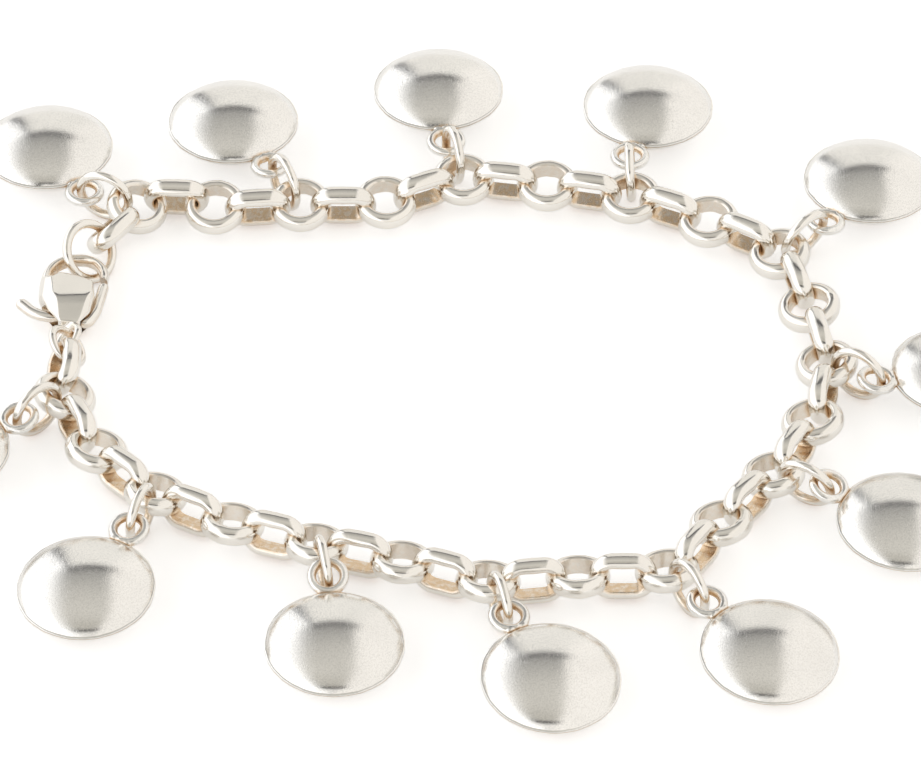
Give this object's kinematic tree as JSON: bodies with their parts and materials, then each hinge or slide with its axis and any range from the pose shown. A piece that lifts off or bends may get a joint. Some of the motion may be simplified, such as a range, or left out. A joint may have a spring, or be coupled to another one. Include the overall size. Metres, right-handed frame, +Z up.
{
  "type": "charm bracelet",
  "caption": "Silver charm bracelet lying in a loop: round and oval rolo links, double-domed round charms on jump rings, and a sprung lobster clasp.",
  "frame": {"origin": "below the middle of the loop's box, on the surface that it lies on", "axes": "+Z up; +X along the loop's long way, from the clasp to the far side; +Y away from the viewer, the way the clasp's claw points"},
  "size_m": [0.0974, 0.0862, 0.0054],
  "materials": {
    "polished_silver": "polished, with wear in the corners between links",
    "satin_silver": "polished by hand to a soft satin, with small dings"
  },
  "bodies": {
    "bracelet": {"chain": "polished_silver", "charm_01": "satin_silver", "charm_02": "satin_silver", "charm_03": "satin_silver", "charm_04": "satin_silver", "charm_05": "satin_silver", "charm_06": "satin_silver", "charm_07": "satin_silver", "charm_08": "satin_silver", "charm_09": "satin_silver", "charm_10": "satin_silver", "charm_11": "satin_silver", "charm_12": "satin_silver", "charm_ring_01": "polished_silver", "charm_ring_02": "polished_silver", "charm_ring_03": "polished_silver", "charm_ring_04": "polished_silver", "charm_ring_05": "polished_silver", "charm_ring_06": "polished_silver", "charm_ring_07": "polished_silver", "charm_ring_08": "polished_silver", "charm_ring_09": "polished_silver", "charm_ring_10": "polished_silver", "charm_ring_11": "polished_silver", "charm_ring_12": "polished_silver", "clasp_body": "polished_silver", "clasp_tail_ring": "polished_silver", "clasp_ring": "polished_silver"},
    "lever": {"clasp_lever": "polished_silver"}
  },
  "joints": [
    {"name": "lever_hinge", "type": "hinge", "parent": "bracelet", "child": "lever", "pos_m": [-0.03266, 0.00776, 0.0017], "axis": [0, 0, 1], "range_deg": [0, 20], "stiffness_Nm_per_rad": 0.02, "springref_deg": -11.46}
  ]
}
